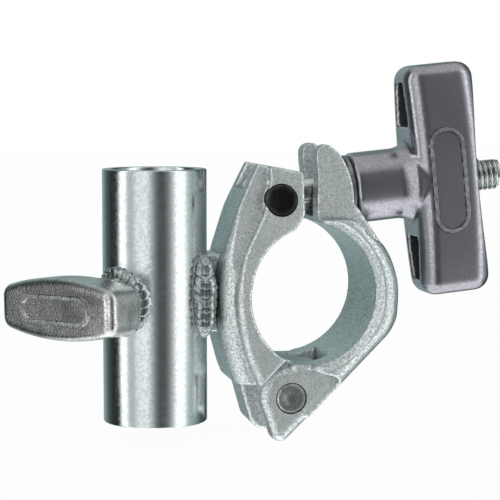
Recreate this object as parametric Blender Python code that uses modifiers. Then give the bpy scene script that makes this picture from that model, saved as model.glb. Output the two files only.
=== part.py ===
"""Half coupler with a spigot socket: a forged two-jaw pipe clamp welded to a socket tube.

The origin is the centre of the pipe seat. +X points from the tube to the clamping handle,
+Y runs along the gripped pipe, and +Z is up, along the socket tube.
"""

import math

import bmesh
import bpy
from mathutils import Matrix, Vector

MM = 0.001
GAP = 0.3 * MM
# How far a joined shape stands proud of the face that it is joined to
SKIN = 0.1 * MM

# Pipe seat and hinge
PIPE_RADIUS = 24.0 * MM
HINGE = Vector((-9.7, 0, -34.1)) * MM
BOLT_PIVOT = Vector((-13.0, 0, 32.3)) * MM
CLOSED_PAST = math.radians(8.8)
HINGE_PIN_RADIUS = 5.0 * MM
PIVOT_PIN_RADIUS = 5.2 * MM

# Saddle (the welded jaw)
SADDLE_HALF_WIDTH = 21.0 * MM
SADDLE_FORK_HALF_WIDTH = 17.0 * MM
SADDLE_EDGE = 7.0 * MM
TONGUE_HALF_WIDTH = 8.7 * MM
EYE_SLOT_HALF_WIDTH = 7.3 * MM

# Flap (the hinged jaw)
FLAP_HALF_WIDTH = 21.0 * MM
FLAP_FORK_HALF_WIDTH = 14.0 * MM
FLAP_EDGE = 5.0 * MM
FORK_ARC_RADIUS = 25.3 * MM
BOLT_SLOT_HALF_WIDTH = 6.7 * MM
HINGE_SLOT_HALF_WIDTH = TONGUE_HALF_WIDTH + 0.5 * MM
HINGE_PRONG_HALF_WIDTH = 16.5 * MM
PRONG_RADIUS = 10.6 * MM

# Swing bolt, M12, with its washer and hand nut; distances run along the bolt from its pivot
BOLT_LEAN = math.radians(5.8)
BOLT_RADIUS = 5.9 * MM
EYE_RADIUS = 10.0 * MM
EYE_HALF_WIDTH = EYE_SLOT_HALF_WIDTH - 0.5 * MM
BOLT_LENGTH = 80.4 * MM
WASHER_SEAT = 25.4 * MM
WASHER_THICKNESS = 1.8 * MM
WASHER_RADIUS = 11.5 * MM
BOSS_RADIUS = 12.1 * MM
BAR_UNDERSIDE = 48.2 * MM
BAR_FACE = 72.6 * MM
BAR_HOLLOW_DEPTH = 3.2 * MM
BAR_HOLLOW_RADIUS = 200.0 * MM
BAR_HALF_LENGTH = 39.6 * MM
BAR_HALF_DEPTH_END = 9.5 * MM
BAR_HALF_DEPTH_MIDDLE = 14.0 * MM
INSERT_RADIUS = 9.0 * MM
INSERT_LENGTH = 20.4 * MM

# Socket tube for a 28 mm spigot
TUBE_CENTRE_X = -53.2 * MM
TUBE_RADIUS = 17.5 * MM
SOCKET_RADIUS = 14.5 * MM
TUBE_HALF_LENGTH = 42.5 * MM

# Locking screw, M10, with its knob; distances run out from the tube's axis
LOCK_ANGLE = math.radians(217)
LOCK_HEIGHT = -1.0 * MM
KNOB_REST_TURN = math.radians(1.6)
SCREW_RADIUS = 4.85 * MM
LOCK_BOSS_RADIUS = 8.6 * MM
LOCK_WELD_WIDTH = 2.8 * MM
LOCK_SCREW_END = 38.0 * MM
LOCK_BOSS_END = 25.0 * MM
PAD_TIP = 4.4 * MM
PAD_RADIUS = 4.4 * MM
PAD_LENGTH = 3.2 * MM
HUB_START = 26.0 * MM
KNOB_INNER = 31.0 * MM
KNOB_OUTER = 45.5 * MM
KNOB_HALF_LENGTH = 26.0 * MM
KNOB_HALF_HEIGHT_END = 6.7 * MM
KNOB_HALF_HEIGHT_MIDDLE = 10.1 * MM

ROUND_STEPS = 48
PIN_STEPS = 32
ARC_STEP = math.radians(12)

UP = Vector((0, 0, 1))
ALONG_PIPE = Vector((0, 1, 0))


# Scene, collections and materials


def clear_scene():
    for obj in list(bpy.data.objects):
        bpy.data.objects.remove(obj, do_unlink=True)


def new_collection(name):
    collection = bpy.data.collections.new(name)
    bpy.context.scene.collection.children.link(collection)
    return collection


def metal(name, colour, roughness, metallic=1.0):
    material = bpy.data.materials.new(name)
    material.use_nodes = True
    shader = material.node_tree.nodes["Principled BSDF"]
    shader.inputs["Base Color"].default_value = (*colour, 1.0)
    shader.inputs["Roughness"].default_value = roughness
    shader.inputs["Metallic"].default_value = metallic
    return material


clear_scene()
PARTS = new_collection("half_coupler")
CUTTERS = new_collection("cutters")
FORGED_ZINC = metal("forged_zinc", (0.62, 0.67, 0.67), 0.42)
TUBE_ZINC = metal("tube_zinc", (0.66, 0.71, 0.72), 0.28)
CAST_ALUMINIUM = metal("cast_aluminium", (0.36, 0.36, 0.38), 0.34)
PIN_STEEL = metal("pin_steel", (0.20, 0.19, 0.18), 0.55)
BOLT_ZINC = metal("bolt_zinc", (0.66, 0.69, 0.68), 0.32)
WELD_METAL = metal("weld_metal", (0.60, 0.63, 0.64), 0.36)
BRASS = metal("brass", (0.78, 0.60, 0.30), 0.30)


# Geometry helpers


def mesh_object(name, mesh, material, collection):
    obj = bpy.data.objects.new(name, mesh)
    obj.data.materials.append(material)
    collection.objects.link(obj)
    if collection is CUTTERS:
        obj.hide_render = True
        obj.display_type = "WIRE"
    return obj


def smooth(obj):
    obj.data.shade_smooth()
    obj.data.set_sharp_from_angle(angle=math.radians(30))


def facing(direction, upward=UP):
    """The rotation whose local Z is the direction and whose local Y is nearest to upward."""
    z = direction.normalized()
    x = upward.cross(z).normalized()
    return Matrix((x, z.cross(x), z)).transposed().to_4x4()


def placed(direction, origin, upward=UP):
    return Matrix.Translation(origin) @ facing(direction, upward)


def turned(name, profile, matrix, material, collection, steps=ROUND_STEPS):
    """A solid of revolution about the matrix's local Z, from a profile of (radius, height)."""
    mesh = bpy.data.meshes.new(name)
    points = [(radius, 0, height) for radius, height in profile]
    edges = [(i, i + 1) for i in range(len(points) - 1)]
    if profile[0][0] > 0:
        edges.append((len(points) - 1, 0))
    mesh.from_pydata(points, edges, [])
    obj = mesh_object(name, mesh, material, collection)
    obj.matrix_world = matrix
    screw = obj.modifiers.new("turn", "SCREW")
    screw.steps = steps
    screw.render_steps = steps
    screw.use_merge_vertices = True
    screw.merge_threshold = 0.00005
    screw.use_normal_calculate = True
    return obj


def rod_profile(radius, low, high, chamfer):
    return [
        (0, high),
        (radius - chamfer, high),
        (radius, high - chamfer),
        (radius, low + chamfer),
        (radius - chamfer, low),
        (0, low),
    ]


def ring_profile(outer, inner, low, high, chamfer):
    return [
        (inner + chamfer, high),
        (outer - chamfer, high),
        (outer, high - chamfer),
        (outer, low + chamfer),
        (outer - chamfer, low),
        (inner + chamfer, low),
        (inner, low + chamfer),
        (inner, high - chamfer),
    ]


def arc(centre, radius, start_deg, end_deg):
    """Points on an arc about a centre, given in degrees and including both ends."""
    start, end = math.radians(start_deg), math.radians(end_deg)
    count = max(8, math.ceil(abs(end - start) / ARC_STEP))
    angles = [start + (end - start) * i / count for i in range(count + 1)]
    return [centre + radius * Vector((math.cos(a), math.sin(a))) for a in angles]


def rounded(corners):
    """The outline through corners of (x, z, radius), in millimetres, each corner made an arc."""
    outline = []
    for i, (x, z, radius) in enumerate(corners):
        corner = Vector((x, z)) * MM
        before = Vector(corners[i - 1][:2]) * MM
        after = Vector(corners[(i + 1) % len(corners)][:2]) * MM
        back, on = (before - corner).normalized(), (after - corner).normalized()
        half = back.angle(on) / 2
        if radius == 0 or half > math.radians(89):
            outline.append(corner)
            continue
        reach = min(radius * MM / math.tan(half), 0.49 * (before - corner).length)
        reach = min(reach, 0.49 * (after - corner).length)
        real = reach * math.tan(half)
        centre = corner + (back + on).normalized() * real / math.sin(half)
        first, last = corner + back * reach - centre, corner + on * reach - centre
        sweep = first.angle_signed(last)
        count = max(1, math.ceil(abs(sweep) / ARC_STEP))
        start = math.atan2(first.y, first.x)
        for step in range(count + 1):
            angle = start - sweep * step / count
            outline.append(centre + real * Vector((math.cos(angle), math.sin(angle))))
    return outline


def slab(name, outline, half_width, material, collection, edge=0.0, matrix=None):
    """A flat outline thickened both ways along local Z, with its edges rounded inwards by edge."""
    curve = bpy.data.curves.new(name, "CURVE")
    curve.dimensions = "2D"
    curve.fill_mode = "BOTH"
    curve.extrude = half_width - edge
    curve.bevel_depth = edge
    curve.offset = -edge
    curve.bevel_resolution = 2 if edge else 0
    spline = curve.splines.new("POLY")
    spline.points.add(len(outline) - 1)
    for point, (x, y) in zip(spline.points, outline):
        point.co = (x, y, 0, 1)
    spline.use_cyclic_u = True
    guide = bpy.data.objects.new(name + "_guide", curve)
    CUTTERS.objects.link(guide)
    bpy.context.view_layer.update()
    graph = bpy.context.evaluated_depsgraph_get()
    mesh = bpy.data.meshes.new_from_object(guide.evaluated_get(graph))
    bpy.data.objects.remove(guide, do_unlink=True)
    shape = bmesh.new()
    shape.from_mesh(mesh)
    bmesh.ops.remove_doubles(shape, verts=shape.verts, dist=0.00001)
    bmesh.ops.recalc_face_normals(shape, faces=shape.faces)
    shape.to_mesh(mesh)
    shape.free()
    mesh.materials.clear()
    obj = mesh_object(name, mesh, material, collection)
    obj.matrix_world = matrix if matrix else FRONT_VIEW
    return obj


def block(name, low, high, matrix=None):
    """A box cutter between two corners in millimetres, under an optional matrix."""
    mesh = bpy.data.meshes.new(name)
    shape = bmesh.new()
    bmesh.ops.create_cube(shape, size=1.0)
    low, high = Vector(low) * MM, Vector(high) * MM
    for vertex in shape.verts:
        vertex.co = Vector((low[i] + (vertex.co[i] + 0.5) * (high[i] - low[i]) for i in range(3)))
    shape.to_mesh(mesh)
    shape.free()
    obj = mesh_object(name, mesh, FORGED_ZINC, CUTTERS)
    if matrix:
        obj.matrix_world = matrix
    return obj


def boolean(target, tool, operation):
    modifier = target.modifiers.new(operation.lower() + "_" + tool.name, "BOOLEAN")
    modifier.operation = operation
    modifier.object = tool
    modifier.solver = "EXACT"


def cut(target, tool):
    boolean(target, tool, "DIFFERENCE")


def join(target, tool):
    boolean(target, tool, "UNION")


# An outline's own X and Y are the object's X and Z, and its thickness runs along Y.
FRONT_VIEW = Matrix.Rotation(math.radians(90), 4, "X")


def drill(name, centre, direction, radius, low, high, steps=ROUND_STEPS):
    """A round cutter about a line through centre, from low to high along the direction."""
    upward = UP if abs(direction.z) < 0.9 else ALONG_PIPE
    matrix = placed(direction, centre, upward)
    return turned(name, rod_profile(radius, low, high, 0.01 * MM), matrix, FORGED_ZINC, CUTTERS, steps)


def swung(point, centre, angle):
    """A point turned about a line along Y through the centre; positive leans towards -X."""
    return centre + Matrix.Rotation(-angle, 3, "Y") @ (point - centre)


FLAP_PIPE_AXIS = swung(Vector((0, 0, 0)), HINGE, CLOSED_PAST)
BOLT_DIRECTION = Vector((math.cos(BOLT_LEAN), 0, math.sin(BOLT_LEAN)))
BAR_DIRECTION = Vector((-math.sin(BOLT_LEAN), 0, math.cos(BOLT_LEAN)))
LOCK_DIRECTION = Vector((math.cos(LOCK_ANGLE), math.sin(LOCK_ANGLE), 0))
TUBE_AXIS_POINT = Vector((TUBE_CENTRE_X, 0, 0))
LOCK_AXIS_POINT = TUBE_AXIS_POINT + UP * LOCK_HEIGHT


# Saddle: the forged jaw that is welded to the tube


def make_saddle():
    body = [
        (12, 60, 0), (-11.6, 60, 0), (-20.1, 44.4, 60), (-27.4, 29.6, 40), (-33.0, 12, 40),
        (-34.0, 2, 30), (-33.0, -14, 30), (-30.0, -25, 12), (-22.0, -45, 0), (12, -45, 0),
    ]
    saddle = slab("saddle", rounded(body), SADDLE_HALF_WIDTH, FORGED_ZINC, PARTS, SADDLE_EDGE)
    shoulder = [
        (-60, -28.9, 0), (-20.6, -28.9, 1), (-12.6, -20.7, 0), (20, -20.7, 0), (20, -60, 0), (-60, -60, 0),
    ]
    cut(saddle, slab("saddle_shoulder_cut", rounded(shoulder[::-1]), 40 * MM, FORGED_ZINC, CUTTERS))
    crown = [(-60, 51.5, 0), (-60, 80, 0), (20, 80, 0), (20, 36.8, 0)]
    cut(saddle, slab("saddle_crown_cut", rounded(crown), 40 * MM, FORGED_ZINC, CUTTERS))
    for side in (1, -1):
        lean = Matrix.Translation((0, 0, 0.022)) @ Matrix.Rotation(side * math.radians(9), 4, "X")
        low_y, high_y = (17.6, 40) if side > 0 else (-40, -17.6)
        cut(saddle, block(f"saddle_fork_lean_{side}", (-60, low_y, -6), (60, high_y, 60), lean))
    tongue_outline = [
        (-27.0, -24, 0), (-26.2, -29, 4), (-22.4, -42.6, 3), (-19.4, -45.6, 4),
        (-11.0, -45.6, 5), (0.4, -35.6, 7), (2.6, -29.0, 6), (1.6, -22, 1), (-16, -16, 0),
    ]
    tongue = slab("saddle_tongue", rounded(tongue_outline), TONGUE_HALF_WIDTH, FORGED_ZINC, CUTTERS)
    join(saddle, tongue)
    join(saddle, block("saddle_weld_pad", (-37, -8, -12), (-31, 8, 14)))
    cut(saddle, tube_cutter("saddle_tube_cut", TUBE_RADIUS + GAP))
    cut(saddle, drill("saddle_bore", Vector((0, 0, 0)), ALONG_PIPE, PIPE_RADIUS, -0.04, 0.04))
    gate = [(-5.2, 60, 0), (-5.2, 27, 3), (-9.2, 21.5, 0), (-2, 10, 0), (30, -20, 0), (30, 60, 0)]
    cut(saddle, slab("saddle_gate", rounded(gate), 40 * MM, FORGED_ZINC, CUTTERS))
    pivot = Vector((BOLT_PIVOT.x, BOLT_PIVOT.z))
    eye_slot = arc(pivot, EYE_RADIUS + 1.4 * MM, 175, 322)
    eye_slot += [Vector((0.02, 0.0235)), Vector((0.02, 0.06)), Vector((-0.0205, 0.06))]
    cut(saddle, slab("saddle_eye_slot", eye_slot[::-1], EYE_SLOT_HALF_WIDTH, FORGED_ZINC, CUTTERS))
    hole = PIVOT_PIN_RADIUS + GAP
    cut(saddle, drill("saddle_pivot_hole", BOLT_PIVOT, ALONG_PIPE, hole, -0.04, 0.04, PIN_STEPS))
    hole = HINGE_PIN_RADIUS + GAP
    cut(saddle, drill("saddle_hinge_hole", HINGE, ALONG_PIPE, hole, -0.04, 0.04, PIN_STEPS))
    smooth(saddle)


# Flap: the forged jaw that swings on the hinge pin


def make_flap():
    ring = [
        (-0.4, 34, 0), (9.5, 34, 0), (14.4, 28.6, 0), (24.6, 13.2, 22), (27.6, 4.0, 24),
        (27.0, -8.2, 14), (24.2, -13.2, 12), (-4, -41.4, 0), (-10, -30, 0), (-0.4, -20, 0),
    ]
    flap = slab("flap", rounded(ring), FLAP_HALF_WIDTH, FORGED_ZINC, PARTS, FLAP_EDGE)
    shelf = [(-30, 25.6, 0), (12, 25.6, 6), (19, 17.0, 12), (40, 17, 0), (40, 60, 0), (-30, 60, 0)]
    cheek = [(-30, -60, 0), (-30, -16, 0), (-8, -23, 3), (6, -27, 4), (12, -60, 0)]
    for side in (1, -1):
        centre = side * (FLAP_FORK_HALF_WIDTH - SKIN + 20 * MM)
        matrix = Matrix.Translation((0, centre, 0)) @ FRONT_VIEW
        trim = slab(f"flap_shelf_{side}", rounded(shelf), 20 * MM, FORGED_ZINC, CUTTERS, 0, matrix)
        cut(flap, trim)
        centre = side * (HINGE_PRONG_HALF_WIDTH - SKIN + 20 * MM)
        matrix = Matrix.Translation((0, centre, 0)) @ FRONT_VIEW
        trim = slab(f"flap_cheek_{side}", rounded(cheek), 20 * MM, FORGED_ZINC, CUTTERS, 0, matrix)
        cut(flap, trim)
    pivot = Vector((BOLT_PIVOT.x, BOLT_PIVOT.z))
    prongs = rounded([(14.4, 26.0, 0), (-0.2, 20.5, 0), (-0.2, 40, 0)])
    prongs += arc(Vector((2.8, 46.9)) * MM, 3.6 * MM, 180, 70)
    prongs += arc(pivot, FORK_ARC_RADIUS, 38, -3)
    join(flap, slab("flap_fork", prongs, FLAP_FORK_HALF_WIDTH, FORGED_ZINC, CUTTERS))
    nose = rounded([(-18.9, -39.0, 0), (-14.6, -51.8, 3.4), (6, -31.8, 0), (6, -18, 0), (-9, -19, 0)])
    nose += arc(Vector((HINGE.x, HINGE.z)), PRONG_RADIUS, 92, 194)
    prong = slab("flap_prongs", nose, HINGE_PRONG_HALF_WIDTH, FORGED_ZINC, CUTTERS, 1.2 * MM)
    join(flap, prong)
    cut(flap, drill("flap_bore", FLAP_PIPE_AXIS, ALONG_PIPE, PIPE_RADIUS, -0.04, 0.04))
    bolt_slot = [(-20, 60, 0), (-20, 25.6, 0), (4, 26.2, 3), (40, 30.5, 0), (40, 60, 0)]
    cut(flap, slab("flap_bolt_slot", rounded(bolt_slot), BOLT_SLOT_HALF_WIDTH, FORGED_ZINC, CUTTERS))
    spot = BOSS_RADIUS + 0.8 * MM
    start = WASHER_SEAT - GAP
    cut(flap, drill("flap_washer_seat", BOLT_PIVOT, BOLT_DIRECTION, spot, start, 0.07))
    hinge_slot = [
        (-40, -10, 0), (4.6, -10, 0), (4.6, -28.0, 6), (5.2, -46, 3), (2, -60, 0), (-40, -60, 0),
    ]
    cut(flap, slab("flap_hinge_slot", rounded(hinge_slot), HINGE_SLOT_HALF_WIDTH, FORGED_ZINC, CUTTERS))
    hole = HINGE_PIN_RADIUS + GAP
    cut(flap, drill("flap_hinge_hole", HINGE, ALONG_PIPE, hole, -0.04, 0.04, PIN_STEPS))
    smooth(flap)


# Pins: plain rivets peened flush with the forgings


def make_pins():
    chamfer = 0.5 * MM
    reach = HINGE_PRONG_HALF_WIDTH + 0.4 * MM
    profile = rod_profile(HINGE_PIN_RADIUS, -reach, reach, chamfer)
    matrix = placed(ALONG_PIPE, HINGE)
    hinge_pin = turned("hinge_pin", profile, matrix, PIN_STEEL, PARTS, PIN_STEPS)
    reach = SADDLE_FORK_HALF_WIDTH + 0.2 * MM
    profile = rod_profile(PIVOT_PIN_RADIUS, -reach, reach, chamfer)
    matrix = placed(ALONG_PIPE, BOLT_PIVOT)
    pivot_pin = turned("bolt_pivot_pin", profile, matrix, PIN_STEEL, PARTS, PIN_STEPS)
    smooth(hinge_pin)
    smooth(pivot_pin)


# Swing bolt with its washer, hand nut and threaded insert


def along_bolt(distance):
    return placed(BOLT_DIRECTION, BOLT_PIVOT + BOLT_DIRECTION * distance, BAR_DIRECTION)


def make_swing_bolt():
    profile = rod_profile(EYE_RADIUS, -EYE_HALF_WIDTH, EYE_HALF_WIDTH, 1.2 * MM)
    eye = turned("swing_bolt", profile, placed(ALONG_PIPE, BOLT_PIVOT), BOLT_ZINC, PARTS)
    profile = rod_profile(BOLT_RADIUS, 2 * MM, BOLT_LENGTH, 1.0 * MM)
    shank = turned("bolt_shank", profile, along_bolt(0), BOLT_ZINC, CUTTERS, PIN_STEPS)
    join(eye, shank)
    hole = PIVOT_PIN_RADIUS + GAP
    cut(eye, drill("eye_hole", BOLT_PIVOT, ALONG_PIPE, hole, -0.04, 0.04, PIN_STEPS))
    smooth(eye)


def make_washer():
    profile = ring_profile(WASHER_RADIUS, BOLT_RADIUS + 0.5 * MM, 0, WASHER_THICKNESS, 0.3 * MM)
    smooth(turned("clamp_washer", profile, along_bolt(WASHER_SEAT), BOLT_ZINC, PARTS))


def barrel(half_length, half_end, half_middle, corner):
    """A bar's outline along local Y, with bulging sides and rounded corners."""
    end, length = half_end / MM, half_length / MM
    bulge = end + (half_middle / MM - end) / 0.755
    return rounded([
        (end, -length, corner), (bulge, 0, 400), (end, length, corner),
        (-end, length, corner), (-bulge, 0, 400), (-end, -length, corner),
    ])


BOSS_START = WASHER_SEAT + WASHER_THICKNESS + GAP
INSERT_START = BOSS_START + 1.2 * MM


def make_clamp_handle():
    outline = barrel(BAR_HALF_LENGTH, BAR_HALF_DEPTH_END, BAR_HALF_DEPTH_MIDDLE, 5)
    middle = (BAR_UNDERSIDE + BAR_FACE) / 2
    half = (BAR_FACE - BAR_UNDERSIDE) / 2
    handle = slab(
        "clamp_handle", outline, half, CAST_ALUMINIUM, PARTS, 3.2 * MM, along_bolt(middle)
    )
    flare = BAR_UNDERSIDE - 4.5 * MM
    profile = [
        (0, middle), (BOSS_RADIUS + 1.6 * MM, middle), (BOSS_RADIUS + 1.6 * MM, BAR_UNDERSIDE),
        (BOSS_RADIUS + 0.8 * MM, flare + 3 * MM), (BOSS_RADIUS, flare),
        (BOSS_RADIUS, BOSS_START + 0.6 * MM), (BOSS_RADIUS - 0.6 * MM, BOSS_START), (0, BOSS_START),
    ]
    join(handle, turned("handle_boss", profile, along_bolt(0), CAST_ALUMINIUM, CUTTERS))
    lean = math.degrees(BOLT_LEAN)
    centre = BOLT_PIVOT + BOLT_DIRECTION * (BAR_FACE - BAR_HOLLOW_DEPTH + BAR_HOLLOW_RADIUS)
    hollow = arc(Vector((centre.x, centre.z)), BAR_HOLLOW_RADIUS, 192 + lean, 168 + lean)
    cut(handle, slab("handle_hollow", hollow, 20 * MM, CAST_ALUMINIUM, CUTTERS))
    clearance = BOLT_RADIUS + 0.6 * MM
    cut(handle, drill("handle_bore", BOLT_PIVOT, BOLT_DIRECTION, clearance, 0, 0.09, PIN_STEPS))
    seat = INSERT_RADIUS + GAP
    end = INSERT_START + INSERT_LENGTH + GAP
    cut(handle, drill("insert_seat", BOLT_PIVOT, BOLT_DIRECTION, seat, 0, end, PIN_STEPS))
    for side in (1, -1):
        pocket = [(-6.5, 19, 1), (6.5, 19, 1), (3.5, 34, 1), (-3.5, 34, 1)]
        if side < 0:
            pocket = [(x, -y, radius) for x, y, radius in reversed(pocket)]
        tool = slab(
            f"handle_pocket_{side}", rounded(pocket), 8 * MM, CAST_ALUMINIUM, CUTTERS, 0,
            along_bolt(BAR_UNDERSIDE + 4 * MM),
        )
        cut(handle, tool)
    smooth(handle)
    profile = ring_profile(INSERT_RADIUS, BOLT_RADIUS + GAP, 0, INSERT_LENGTH, 0.4 * MM)
    insert = turned("handle_insert", profile, along_bolt(INSERT_START), BOLT_ZINC, PARTS, PIN_STEPS)
    smooth(insert)


# Socket tube, its locking screw and the welds


def out_from_tube(distance):
    return placed(LOCK_DIRECTION, LOCK_AXIS_POINT + LOCK_DIRECTION * distance)


def tube_cutter(name, radius):
    return drill(name, TUBE_AXIS_POINT, UP, radius, -0.06, 0.06)


def make_socket_tube():
    profile = ring_profile(TUBE_RADIUS, SOCKET_RADIUS, -TUBE_HALF_LENGTH, TUBE_HALF_LENGTH, 0.4 * MM)
    matrix = Matrix.Translation(TUBE_AXIS_POINT)
    tube = turned("socket_tube", profile, matrix, TUBE_ZINC, PARTS, 64)
    hole = SCREW_RADIUS + 0.6 * MM
    cut(tube, drill("tube_screw_hole", LOCK_AXIS_POINT, LOCK_DIRECTION, hole, 0, 0.03, PIN_STEPS))
    smooth(tube)


def make_lock_boss():
    profile = ring_profile(LOCK_BOSS_RADIUS, SCREW_RADIUS + GAP, 0, LOCK_BOSS_END - 0.01, 0.6 * MM)
    boss = turned("lock_boss", profile, out_from_tube(0.01), BOLT_ZINC, PARTS, PIN_STEPS)
    cut(boss, tube_cutter("boss_saddle_cut", TUBE_RADIUS + GAP))
    smooth(boss)
    inner, outer = LOCK_BOSS_RADIUS + GAP, LOCK_BOSS_RADIUS + LOCK_WELD_WIDTH
    profile = [
        (inner, 21.6 * MM), (inner + 1.2 * MM, 21.4 * MM), (outer - 0.8 * MM, 19.6 * MM),
        (outer, 18.2 * MM), (outer, 10 * MM), (inner, 10 * MM),
    ]
    bead = turned("lock_boss_weld", profile, out_from_tube(0), WELD_METAL, PARTS)
    cut(bead, tube_cutter("boss_weld_cut", TUBE_RADIUS + GAP))
    smooth(bead)


def make_saddle_welds():
    """One fillet along each side of the line where the tube and the saddle meet."""
    for name, side in (("saddle_weld_front", -1), ("saddle_weld_back", 1)):
        outline = [(-40, -8.5, 0), (-34.3, -8.5, 0), (-34.3, -15, 1), (-37.4, -17.2, 3), (-43, -13.6, 0)]
        if side > 0:
            outline = [(x, -y, radius) for x, y, radius in reversed(outline)]
        matrix = Matrix.Translation((0, 0, 0.001))
        bead = slab(name, rounded(outline), 13.5 * MM, WELD_METAL, PARTS, 0, matrix)
        cut(bead, tube_cutter(name + "_tube_cut", TUBE_RADIUS + GAP))
        smooth(bead)


def make_lock_screw():
    profile = rod_profile(SCREW_RADIUS, PAD_TIP + PAD_LENGTH + GAP, LOCK_SCREW_END, 0.8 * MM)
    smooth(turned("lock_screw", profile, out_from_tube(0), BOLT_ZINC, PARTS, PIN_STEPS))
    profile = rod_profile(PAD_RADIUS, PAD_TIP, PAD_TIP + PAD_LENGTH, 0.6 * MM)
    smooth(turned("thrust_pad", profile, out_from_tube(0), BRASS, PARTS, PIN_STEPS))


def make_lock_knob():
    half_height = KNOB_HALF_HEIGHT_MIDDLE
    outline = barrel(KNOB_HALF_LENGTH, KNOB_HALF_HEIGHT_END, half_height, 3.5)
    outline = [Vector((point.y, -point.x)) for point in outline]
    middle = (KNOB_INNER + KNOB_OUTER) / 2
    half = (KNOB_OUTER - KNOB_INNER) / 2
    matrix = out_from_tube(middle) @ Matrix.Rotation(KNOB_REST_TURN, 4, "Z")
    knob = slab("lock_knob", outline, half, CAST_ALUMINIUM, PARTS, 2.8 * MM, matrix)
    profile = rod_profile(8.8 * MM, HUB_START, middle, 0.8 * MM)
    join(knob, turned("knob_hub", profile, out_from_tube(0), CAST_ALUMINIUM, CUTTERS, PIN_STEPS))
    seat = SCREW_RADIUS + GAP
    end = LOCK_SCREW_END + GAP
    cut(knob, drill("knob_seat", LOCK_AXIS_POINT, LOCK_DIRECTION, seat, 0, end, PIN_STEPS))
    smooth(knob)


make_saddle()
make_flap()
make_pins()
make_swing_bolt()
make_washer()
make_clamp_handle()
make_socket_tube()
make_lock_boss()
make_saddle_welds()
make_lock_screw()
make_lock_knob()
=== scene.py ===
"""Visual model of a half coupler: a forged two-jaw pipe clamp welded to a spigot socket tube."""

import logging
import math
from dataclasses import dataclass
from enum import Enum
from typing import Callable

import bpy
import numpy as np
from mathutils import Matrix, Vector


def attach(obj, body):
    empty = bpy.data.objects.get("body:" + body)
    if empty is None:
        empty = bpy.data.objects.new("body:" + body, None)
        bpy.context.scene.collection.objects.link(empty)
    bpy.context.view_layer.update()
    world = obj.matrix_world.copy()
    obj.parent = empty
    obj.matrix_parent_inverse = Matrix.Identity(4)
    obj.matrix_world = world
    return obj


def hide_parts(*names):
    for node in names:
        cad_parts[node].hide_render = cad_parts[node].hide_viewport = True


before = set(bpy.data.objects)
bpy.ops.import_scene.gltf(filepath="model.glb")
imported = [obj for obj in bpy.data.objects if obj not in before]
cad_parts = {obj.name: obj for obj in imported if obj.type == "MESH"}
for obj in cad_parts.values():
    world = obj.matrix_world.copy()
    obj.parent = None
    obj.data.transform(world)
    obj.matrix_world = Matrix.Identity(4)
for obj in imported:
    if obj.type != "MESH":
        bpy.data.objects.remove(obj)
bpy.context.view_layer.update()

LOG = logging.getLogger("half_coupler")
MM = 0.001
UP = Vector((0, 0, 1))
ALONG_PIPE = Vector((0, 1, 0))
FRONT = Matrix.Rotation(math.radians(90), 4, "X")

Piece = bpy.types.Object
Tree = bpy.types.NodeTree
Nodes = bpy.types.Nodes
Node = bpy.types.Node
Outline = list[Vector]
Profile = list[tuple[float, float]]
Corner = tuple[float, float, float]
Colour = tuple[float, float, float]
Surface = Callable[[np.ndarray, np.ndarray], np.ndarray]

RIM_ROWS = 4
CORNER_STEP = 8
JAW_GRAIN = 0.45
JAW_SOFTENING = 5
PIPE_RADIUS = 24.0
HINGE = Vector((-9.7, 0, -34.1))
HINGE_HOLE = 5.3
PIVOT = Vector((-13.0, 0, 32.3))
PIVOT_HOLE = 5.5
GAP = 0.3
CLOSED_PAST = math.radians(8.8)
BOLT_LEAN = math.radians(5.8)
TUBE_X = -53.2
TUBE_AXIS = Vector((TUBE_X, 0, 0))
TUBE_RADIUS = 17.5
LOCK_ANGLE = math.radians(217)
LOCK_POINT = Vector((TUBE_X, 0, -1.0))
BOLT_WAY = Vector((math.cos(BOLT_LEAN), 0, math.sin(BOLT_LEAN)))
BAR_WAY = Vector((-math.sin(BOLT_LEAN), 0, math.cos(BOLT_LEAN)))
LOCK_WAY = Vector((math.cos(LOCK_ANGLE), math.sin(LOCK_ANGLE), 0))


class Cut(Enum):
    """How a tool meets a piece."""

    AWAY = "DIFFERENCE"
    ADD = "UNION"
    KEEP = "INTERSECT"


# Workshop: selecting, outlines and shaping


def switch(mode: str) -> None:
    """Change the active piece's mode."""
    bpy.ops.object.mode_set(mode=mode)


def deselect() -> None:
    """Leave edit mode and deselect everything."""
    if bpy.context.object and bpy.context.object.mode != "OBJECT":
        switch("OBJECT")
    bpy.ops.object.select_all(action="DESELECT")


def take(piece: Piece) -> None:
    """Make one piece the only selected and the active one.

    Args:
        piece: The piece to work on.
    """
    deselect()
    piece.select_set(True)
    bpy.context.view_layer.objects.active = piece


def tidy_mesh(piece: Piece, merge: float = 1e-6) -> None:
    """Merge doubled points, drop loose scraps and turn all faces outwards.

    Args:
        piece: The mesh to tidy.
        merge: Distance in metres under which points become one.
    """
    take(piece)
    switch("EDIT")
    bpy.ops.mesh.select_all(action="SELECT")
    bpy.ops.mesh.remove_doubles(threshold=merge)
    bpy.ops.mesh.dissolve_degenerate(threshold=merge)
    bpy.ops.mesh.delete_loose()
    bpy.ops.mesh.select_all(action="SELECT")
    bpy.ops.mesh.normals_make_consistent(inside=False)
    switch("OBJECT")


def facing(way: Vector, upward: Vector = UP) -> Matrix:
    """The rotation whose local Z is the way and whose local Y is nearest to upward.

    Args:
        way: Where local Z points.
        upward: What local Y is kept near.

    Returns:
        The rotation.
    """
    z = way.normalized()
    x = upward.cross(z).normalized()
    return Matrix((x, z.cross(x), z)).transposed().to_4x4()


def placed(way: Vector, origin: Vector, upward: Vector = UP) -> Matrix:
    """A frame at an origin in millimetres whose local Z runs along the way."""
    return Matrix.Translation(origin * MM) @ facing(way, upward)


def along_bolt(distance: float) -> Matrix:
    """The frame on the bolt's axis, this many millimetres from its pivot."""
    return placed(BOLT_WAY, PIVOT + BOLT_WAY * distance, BAR_WAY)


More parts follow.
